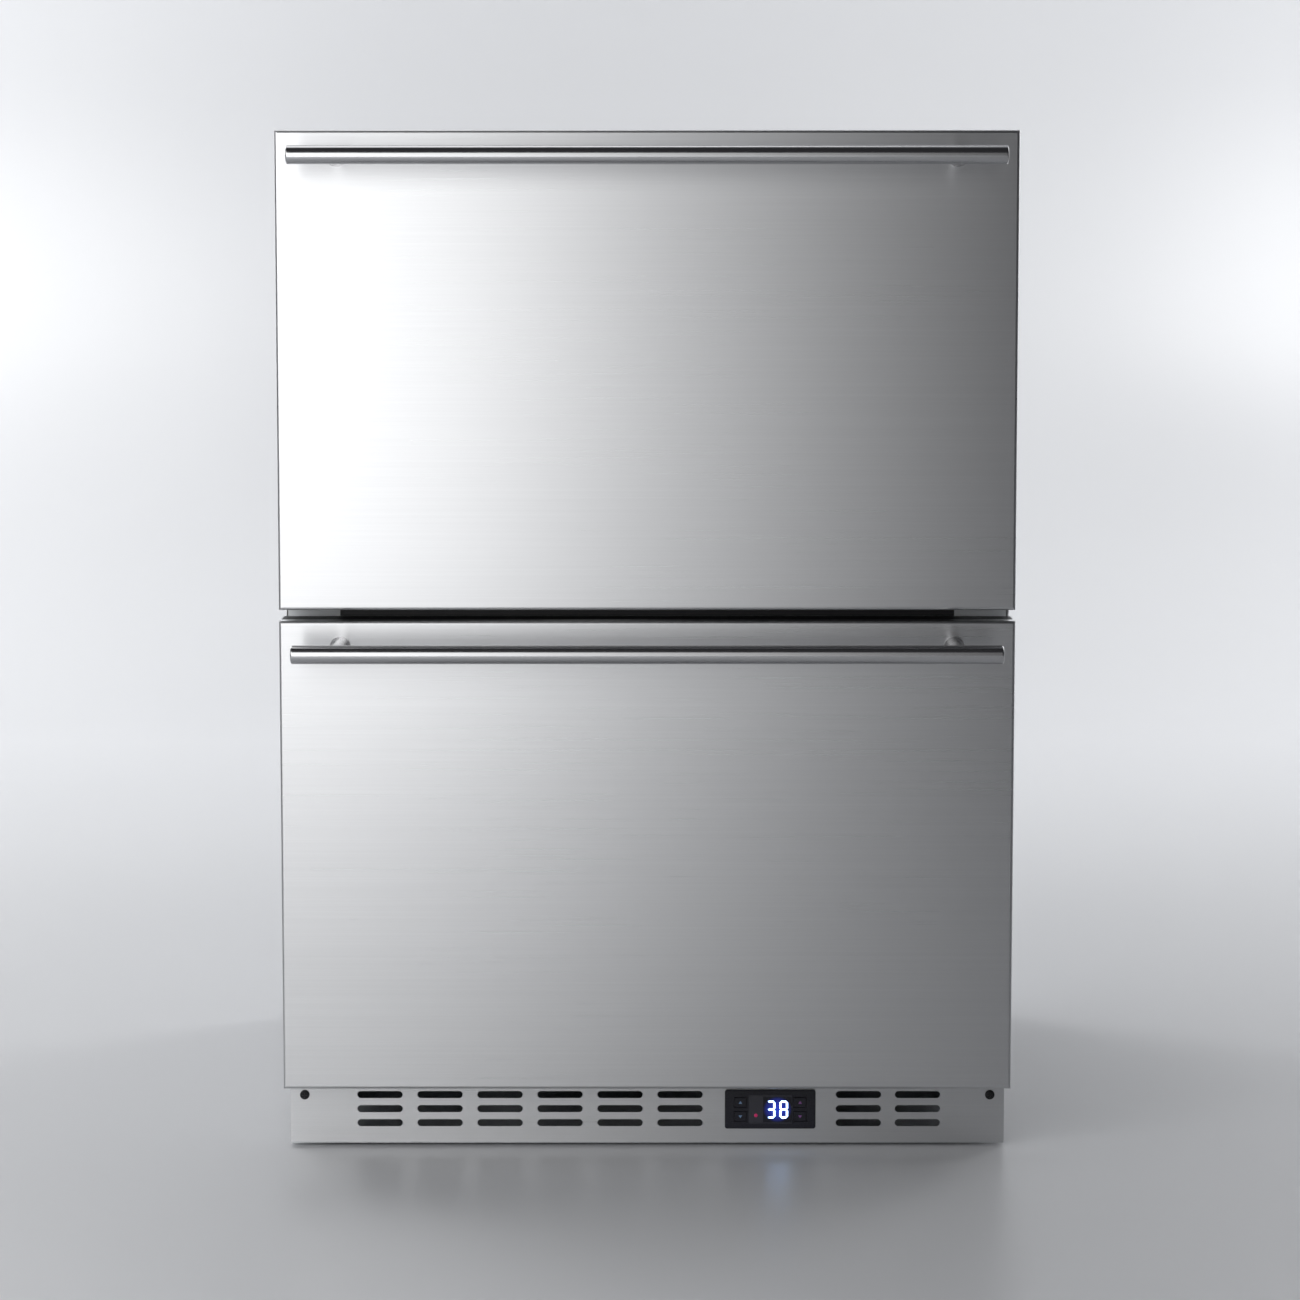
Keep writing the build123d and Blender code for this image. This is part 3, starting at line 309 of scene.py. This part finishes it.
# ---------------------------------------------------------------- mesh helpers
def add_piece(name, mesh_builder, look, body, smooth=False, bevel=0.0):
    """Makes an object from a bmesh, gives it its material, and lets it ride on a CAD body."""
    bm = bmesh.new()
    mesh_builder(bm)
    bmesh.ops.recalc_face_normals(bm, faces=bm.faces)
    mesh = bpy.data.meshes.new(name)
    bm.to_mesh(mesh)
    bm.free()
    for face in mesh.polygons:
        face.use_smooth = smooth
    obj = bpy.data.objects.new(name, mesh)
    bpy.context.collection.objects.link(obj)
    mesh.materials.append(mats[look])
    if bevel:
        modifier = obj.modifiers.new("edges", "BEVEL")
        modifier.width = bevel
        modifier.segments = 2
        modifier.limit_method = "ANGLE"
    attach(obj, body)
    return obj


def add_block(bm, low, high):
    """A closed box between two corners."""
    ends = list(zip(low, high))
    v = [bm.verts.new((x, y, z)) for x in ends[0] for y in ends[1] for z in ends[2]]
    for quad in ((0, 1, 3, 2), (4, 6, 7, 5), (0, 4, 5, 1), (2, 3, 7, 6), (0, 2, 6, 4), (1, 5, 7, 3)):
        bm.faces.new([v[i] for i in quad])


def add_loft(bm, rings, closed_path=False):
    """Skins a list of equal-length vertex rings, and caps both ends of an open path."""
    made = [[bm.verts.new(p) for p in ring] for ring in rings]
    count = len(made[0])
    pairs = list(zip(made, made[1:])) + ([(made[-1], made[0])] if closed_path else [])
    for a, b in pairs:
        for i in range(count):
            j = (i + 1) % count
            bm.faces.new((a[i], a[j], b[j], b[i]))
    if not closed_path:
        bm.faces.new(list(reversed(made[0])))
        bm.faces.new(made[-1])


def add_turned(bm, centre, axis, profile, sides=24):
    """Turns (radius, height) pairs in millimetres round an axis that starts at a point."""
    across = axis.orthogonal().normalized()
    along = axis.cross(across)
    rings = []
    for radius, height in profile:
        ring = []
        for i in range(sides):
            a = 2 * math.pi * i / sides
            spoke = math.cos(a) * across + math.sin(a) * along
            ring.append(centre + MM * (height * axis + radius * spoke))
        rings.append(ring)
    add_loft(bm, rings)


# ---------------------------------------------------------------- display
window_low, window_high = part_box("display_window")
window_mid = (window_low + window_high) / 2
DIGIT_WIDTH, DIGIT_HEIGHT = 7.2 * MM, 15.2 * MM
DIGIT_PITCH = 10.6 * MM
DIGITS_RIGHT = 6.0 * MM  # the pair sits right of the window's middle
STROKE = 1.7 * MM
RELIEF = 0.15 * MM  # digits stand proud of the window
SEGMENT_GAP = 0.25 * MM
HALO_RELIEF = 0.015 * MM
ARROW_SIZE = 1.5 * MM
ARROW_RELIEF = 0.05 * MM
SEGMENTS = {"a": (0, 1, 0), "g": (0, 0, 0), "d": (0, -1, 0), "f": (-1, 0.5, 1), "b": (1, 0.5, 1),
            "e": (-1, -0.5, 1), "c": (1, -0.5, 1)}
GLYPHS = {"3": "abgcd", "8": "abcdefg"}


def add_segment(bm, x, z, upright, length):
    """One bar of a seven-segment digit, pointed at both ends."""
    half, tip = STROKE / 2, length / 2
    flat = tip - half
    shape = [(-tip, 0), (-flat, half), (flat, half), (tip, 0), (flat, -half), (-flat, -half)]
    front, back = window_low.y - RELIEF, window_low.y - 0.02 * MM
    rings = []
    for y in (front, back):
        rings.append([Vector((x + (b if upright else a), y, z + (a if upright else b))) for a, b in shape])
    add_loft(bm, rings)


def add_digit(bm, glyph, x):
    """One digit, centred at x on the window."""
    half_w, half_h = (DIGIT_WIDTH - STROKE) / 2, (DIGIT_HEIGHT - STROKE) / 2
    for segment in GLYPHS[glyph]:
        side, level, upright = SEGMENTS[segment]
        length = (half_h if upright else 2 * half_w) - SEGMENT_GAP
        add_segment(bm, x + side * half_w, window_mid.z + level * half_h, bool(upright), length)


for place, glyph in ((-0.5, "3"), (0.5, "8")):
    digit_x = window_mid.x + DIGITS_RIGHT + place * DIGIT_PITCH
    add_piece(f"display_digit_{glyph}", lambda bm: add_digit(bm, glyph, digit_x), "digit", "cabinet")


STATUS_DOT = [(1.5, 0), (1.5, 0.06), (1.05, 0.13), (0.2, 0.15)]
dot_place = Vector((window_low.x + 6 * MM, window_low.y, window_mid.z - 5 * MM))
add_piece("status_dot", lambda bm: add_turned(bm, dot_place, Vector((0, -1, 0)), STATUS_DOT), "red",
          "cabinet", smooth=True)

halo_low = Vector((window_low.x + 12 * MM, window_low.y - HALO_RELIEF, window_low.z + MM))
halo_high = Vector((window_high.x, window_low.y, window_high.z - MM))
add_piece("digit_halo", lambda bm: add_block(bm, halo_low, halo_high), "halo", "cabinet")


def add_triangle(bm, box, way):
    """A low printed-looking arrow on a key face, pointing up or down."""
    low, high = box
    x, z, size = (low.x + high.x) / 2, (low.z + high.z) / 2, ARROW_SIZE
    shape = [(-size, -way * 0.7 * size), (size, -way * 0.7 * size), (0, way * 0.9 * size)]
    add_loft(bm, [[Vector((x + a, y, z + b)) for a, b in shape] for y in (low.y, low.y - ARROW_RELIEF)])


for side, look in (("left", "mark"), ("right", "faint")):
    for level, way in (("lower", -1), ("upper", 1)):
        node = f"key_{side}_{level}"
        add_piece(f"arrow_{side}_{level}", lambda bm: add_triangle(bm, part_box(node), way), look,
                  f"{node}_body")


# ---------------------------------------------------------------- drawer details
def rounded_path(low, high, radius, steps=6):
    """Points around a rounded rectangle in the XZ plane, each with its outward direction."""
    path = []
    corners = ((high.x, high.z, 0), (low.x, high.z, 90), (low.x, low.z, 180), (high.x, low.z, 270))
    for x, z, start in corners:
        centre = Vector((x - math.copysign(radius, x), 0, z + (-radius if z == high.z else radius)))
        for i in range(steps + 1):
            a = math.radians(start + 90 * i / steps)
            way = Vector((math.cos(a), 0, math.sin(a)))
            path.append((centre + radius * way, way))
    return path


def add_ring(bm, low, high, inset, radius, y, profile):
    """Sweeps (outward, depth) pairs in millimetres around a box, inset from its outline."""
    shrink = Vector((inset, 0, inset))
    rings = []
    for place, way in rounded_path(low + shrink, high - shrink, radius):
        rings.append([place + out * MM * way + Vector((0, y + depth * MM, 0)) for out, depth in profile])
    add_loft(bm, rings, closed_path=True)


BELLOWS = [(-8, 0), (8, 0), (8, 1.5), (4.4, 1.9), (6.3, 2.8), (4.2, 3.5), (6.9, 4.2), (6.9, 5.6), (5.9, 5.8),
           (-5.9, 5.8), (-6.9, 5.6), (-6.9, 4.2), (-4.2, 3.5), (-6.3, 2.8), (-4.4, 1.9), (-8, 1.5)]
DAM = [(-3.5, 0), (3.5, 0), (2.6, 3.2), (1.8, 4.0), (-1.8, 4.0), (-2.6, 3.2)]
BIN_WALL = 2.5 * MM
RIB_COUNT = 9
RIB_HALF, RIB_HEIGHT, RIB_SINK = 1.5 * MM, 1.2 * MM, 0.2 * MM
RIB_MARGIN = 34 * MM
SCREW_HEAD = [(3.6, 0), (3.6, 0.5), (2.9, 1.1), (1.8, 1.3), (1.5, 1.3), (1.4, 0.6), (0.2, 0.6)]
RIVET_HEAD = [(3.2, 0), (3.2, 0.12), (2.3, 0.3), (0.3, 0.35)]
SIDE_RIBS = 9
SIDE_RIB_HALF, SIDE_RIB_HEIGHT, SIDE_RIB_SINK = 2 * MM, MM, 0.3 * MM
SIDE_RIB_ENDS = (22 * MM, 60 * MM)  # above a bin's floor and below its rim
SIDE_RIB_MARGIN = 40 * MM
FLANGE_T = 2 * MM
FLANGE_SCREW_INSET = 24 * MM
RIVETS = 5
RIVET_START, RIVET_PITCH = 24 * MM, 86 * MM


def add_ribs(bm, box):
    """Stiffening ribs along the floor of a bin."""
    low, high = box
    floor = low.z + BIN_WALL
    span = high.x - low.x - 2 * (BIN_LIP + RIB_MARGIN)
    for i in range(RIB_COUNT):
        x = -span / 2 + span * i / (RIB_COUNT - 1)
        start = (x - RIB_HALF, low.y + RIB_MARGIN, floor - RIB_SINK)
        add_block(bm, start, (x + RIB_HALF, high.y - RIB_MARGIN, floor + RIB_HEIGHT))


def add_side_ribs(bm, box):
    """Upright ribs down both sides of a bin, below its lips."""
    low, high = box
    wall_x = high.x - BIN_LIP
    first, last = low.y + SIDE_RIB_MARGIN, high.y - SIDE_RIB_MARGIN
    bottom, top = low.z + SIDE_RIB_ENDS[0], high.z - SIDE_RIB_ENDS[1]
    for side in (-1, 1):
        x = sorted((side * (wall_x - SIDE_RIB_SINK), side * (wall_x + SIDE_RIB_HEIGHT)))
        for i in range(SIDE_RIBS):
            y = first + (last - first) * i / (SIDE_RIBS - 1)
            add_block(bm, (x[0], y - SIDE_RIB_HALF, bottom), (x[1], y + SIDE_RIB_HALF, top))


def add_arm_screws(bm, box):
    """Domed screw heads on the flanges of a pair of arms."""
    low, high = box
    for side in (-1, 1):
        x = side * (high.x - FLANGE_SCREW_INSET)
        for z in (low.z + 12 * MM, low.z + 40 * MM, high.z - 10 * MM):
            add_turned(bm, Vector((x, low.y + FLANGE_T, z)), Vector((0, 1, 0)), SCREW_HEAD)


def add_slide_rivets(bm, box):
    """Rivet heads along the outer webs of a pair of intermediate slide members."""
    low, high = box
    for side in (-1, 1):
        for i in range(RIVETS):
            y = low.y + RIVET_START + RIVET_PITCH * i
            place = Vector((side * high.x, y, (low.z + high.z) / 2))
            add_turned(bm, place, Vector((side, 0, 0)), RIVET_HEAD)


for level in LEVELS:
    drawer = f"{level}_drawer"
    seal_low, seal_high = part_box(f"{level}_gasket")
    bellows = add_piece(f"{level}_bellows_gasket",
                        lambda bm: add_ring(bm, seal_low, seal_high, 8 * MM, 8.5 * MM, seal_low.y, BELLOWS),
                        "rubber", drawer)
    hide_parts(f"{level}_gasket")
    add_piece(f"{level}_panel_dam",
              lambda bm: add_ring(bm, seal_low, seal_high, 23 * MM, 7 * MM, seal_low.y, DAM),
              "white", drawer, bevel=0.3 * MM)
    add_piece(f"{level}_bin_ribs", lambda bm: add_ribs(bm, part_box(f"{level}_bin")), "bin", drawer,
              bevel=0.6 * MM)
    add_piece(f"{level}_bin_side_ribs", lambda bm: add_side_ribs(bm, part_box(f"{level}_bin")), "bin", drawer,
              bevel=0.4 * MM)
    add_piece(f"{level}_slide_rivets", lambda bm: add_slide_rivets(bm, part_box(f"{level}_slide_middle")),
              "zinc", f"{level}_slide_link", smooth=True)
    add_piece(f"{level}_arm_screws", lambda bm: add_arm_screws(bm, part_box(f"{level}_drawer_arms")),
              "zinc", drawer, smooth=True)


# ---------------------------------------------------------------- fans
BLADES = 7
BLADE_STEPS = 8
BLADE_T = 1.2 * MM


def add_blade(bm, centre, axis, start, hub, tip, depth):
    """A cambered blade that twists from steep at the hub to flat at the tip."""
    across = axis.orthogonal().normalized()
    along = axis.cross(across)
    rings = []
    for i in range(BLADE_STEPS + 1):
        share = i / BLADE_STEPS
        radius = hub - MM + (tip - hub + MM) * share
        sweep = start + 0.35 * share
        pitch = math.radians(52 - 27 * share)
        half = min(0.36 * radius + 3 * MM, (depth / 2 - BLADE_T) / math.sin(pitch))
        radial = math.cos(sweep) * across + math.sin(sweep) * along
        around = math.cos(sweep) * along - math.sin(sweep) * across
        ring = []
        for chord, side in ((-1, 0), (-0.4, 1), (0.4, 1), (1, 0), (0.4, -1), (-0.4, -1)):
            camber = 0.12 * half * (1 - chord * chord)
            flat = math.sqrt(max(radius * radius - (chord * half * math.cos(pitch)) ** 2, 0.0))
            lift = chord * half * math.sin(pitch) + camber + side * BLADE_T / 2
            ring.append(centre + flat * radial + chord * half * math.cos(pitch) * around + lift * axis)
        rings.append(ring)
    add_loft(bm, rings)


def add_wheel(bm, box, pivot, axis, tip, hub, depth):
    """An axial fan wheel on the axis through a pivot, from the front of its box."""
    low, high = box
    face = pivot + axis * (low - pivot).dot(axis)
    centre = face + axis * depth / 2
    length, edge = depth / MM, hub / MM
    cup = [(edge * 0.3, 0.6), (edge * 0.7, 0), (edge * 0.92, 0.8)]
    cup += [(edge, 3), (edge, length), (edge * 0.2, length)]
    add_turned(bm, face, axis, cup, 40)
    for i in range(BLADES):
        add_blade(bm, centre, axis, 2 * math.pi * i / BLADES, hub, tip, depth)
    shaft_end = (high - face).dot(axis) / MM
    add_turned(bm, face, axis, [(2.6, length - 2), (2.6, shaft_end - 1), (2.2, shaft_end - 0.5)], 20)


FANS = {"condenser_fan": (74 * MM, 20 * MM, 26 * MM), "evaporator_fan": (46 * MM, 14 * MM, 20 * MM)}
joints = {joint["name"]: joint for joint in frame["record"]["behaviour"]["joints"]}
for name, (tip, hub, depth) in FANS.items():
    pivot, axis = (Vector(joints[f"{name}_spin"][key]) for key in ("pos_m", "axis"))
    wheel = add_piece(f"{name}_wheel", lambda bm: add_wheel(bm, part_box(name), pivot, axis, tip, hub, depth),
                      "black", f"{name}_rotor")
    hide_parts(name)


# ---------------------------------------------------------------- stage, lights and camera
def add_stage():
    """A pale floor that curves up into a backdrop far behind."""
    bm = bmesh.new()
    profile = [(-6.0, 0.0), (2.2, 0.0)]
    for i in range(1, 13):
        a = math.radians(90 * i / 12)
        profile.append((2.2 + 1.2 * math.sin(a), 1.2 * (1 - math.cos(a))))
    profile.append((3.4, 5.0))
    rows = [[bm.verts.new((x, y, z)) for y, z in profile] for x in (-7.0, 7.0)]
    for i in range(len(profile) - 1):
        bm.faces.new((rows[0][i], rows[1][i], rows[1][i + 1], rows[0][i + 1]))
    mesh = bpy.data.meshes.new("stage_floor")
    bm.to_mesh(mesh)
    bm.free()
    for face in mesh.polygons:
        face.use_smooth = True
    floor = bpy.data.objects.new("stage_floor", mesh)
    bpy.context.collection.objects.link(floor)
    s = Surface("pale_floor", (0.62, 0.63, 0.65), 0.3)
    cloud = s.noise((0.9, 0.9, 0.9), detail=1.0)
    s.vary_color(cloud, (0.61, 0.62, 0.64), (0.64, 0.65, 0.67))
    s.vary_rough(cloud, 0.30, 0.36)
    mesh.materials.append(s.material)


def add_light(name, place, aim, size, power, fade=None):
    """A rectangular soft light aimed at a point; fade gives its strength from one side to the other."""
    data = bpy.data.lights.new(name, "AREA")
    data.shape = "RECTANGLE"
    data.size, data.size_y = size
    data.energy = power
    if fade:
        data.use_nodes = True
        tree = data.node_tree
        across = tree.nodes.new("ShaderNodeNewGeometry").outputs["Parametric"]
        split = tree.nodes.new("ShaderNodeSeparateXYZ")
        ramp = tree.nodes.new("ShaderNodeValToRGB")
        tree.links.new(across, split.inputs[0])
        tree.links.new(split.outputs[0], ramp.inputs[0])
        tree.links.new(ramp.outputs[0], tree.nodes["Emission"].inputs["Strength"])
        while len(ramp.color_ramp.elements) < len(fade):
            ramp.color_ramp.elements.new(0.5)
        for element, (position, level) in zip(ramp.color_ramp.elements, fade):
            element.position = position
            element.color = (level, level, level, 1)
    lamp = bpy.data.objects.new(name, data)
    lamp.location = place
    lamp.rotation_euler = (Vector(aim) - Vector(place)).to_track_quat("-Z", "Y").to_euler()
    lamp.visible_camera = False
    bpy.context.collection.objects.link(lamp)


CARD_FADE = ((0.0, 1.0), (0.33, 0.93), (0.41, 0.72), (0.50, 0.38), (0.60, 0.15), (0.70, 0.02))
add_stage()
add_light("front_card", (0.0, -1.75, 0.75), (0.0, 0.0, 0.75), (2.6, 1.3), 24, fade=CARD_FADE)
add_light("key_left", (-2.6, -2.4, 1.7), (-0.1, -0.2, 0.45), (1.8, 2.0), 34)
add_light("top", (-0.6, 0.9, 3.0), (0.0, 0.3, 0.4), (2.0, 1.6), 11)
add_light("backdrop_left", (-1.9, 1.9, 2.4), (-1.2, 3.4, 0.9), (1.2, 1.2), 42)
add_light("backdrop_right", (1.9, 1.9, 2.4), (1.2, 3.4, 0.9), (1.2, 1.2), 46)
add_light("rear_left", (-2.2, 2.4, 1.8), (0.0, 0.2, 0.4), (1.8, 1.8), 24)
add_light("rear_right", (2.4, 2.2, 1.5), (0.0, 0.2, 0.4), (1.6, 1.8), 18)


def add_world():
    """A studio that is pale behind the cabinet and dark in front of it."""
    world = bpy.data.worlds.new("studio")
    world.use_nodes = True
    tree = world.node_tree
    background = tree.nodes["Background"]
    coords = tree.nodes.new("ShaderNodeTexCoord")
    split = tree.nodes.new("ShaderNodeSeparateXYZ")
    ramp = tree.nodes.new("ShaderNodeValToRGB")
    tree.links.new(coords.outputs["Generated"], split.inputs[0])
    tree.links.new(split.outputs["Y"], ramp.inputs[0])
    seen = tree.nodes.new("ShaderNodeMixRGB")
    tree.links.new(tree.nodes.new("ShaderNodeLightPath").outputs["Is Camera Ray"], seen.inputs["Fac"])
    tree.links.new(ramp.outputs[0], seen.inputs["Color1"])
    seen.inputs["Color2"].default_value = (1.2, 1.22, 1.26, 1)
    tree.links.new(seen.outputs[0], background.inputs["Color"])
    ramp.color_ramp.elements[0].color = (0.06, 0.06, 0.065, 1)
    ramp.color_ramp.elements[1].position = 0.45
    ramp.color_ramp.elements[1].color = (0.74, 0.76, 0.80, 1)
    background.inputs["Strength"].default_value = 0.5
    bpy.context.scene.world = world


add_world()
bpy.context.scene.view_settings.view_transform = "Standard"

CAMERA_DISTANCE = 2.9  # from the drawer fronts
CAMERA_HEIGHT = 0.76
CAMERA_TILT = math.radians(5.56)
camera_data = bpy.data.cameras.new("camera")
camera_data.lens = 99.2
camera_data.shift_y = -0.05
camera = bpy.data.objects.new("camera", camera_data)
front_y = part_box("upper_front_skin")[0].y
camera.location = (0.0023, front_y - CAMERA_DISTANCE, CAMERA_HEIGHT)
camera.rotation_euler = (math.radians(90) - CAMERA_TILT, 0, 0)
bpy.context.collection.objects.link(camera)
bpy.context.scene.camera = camera
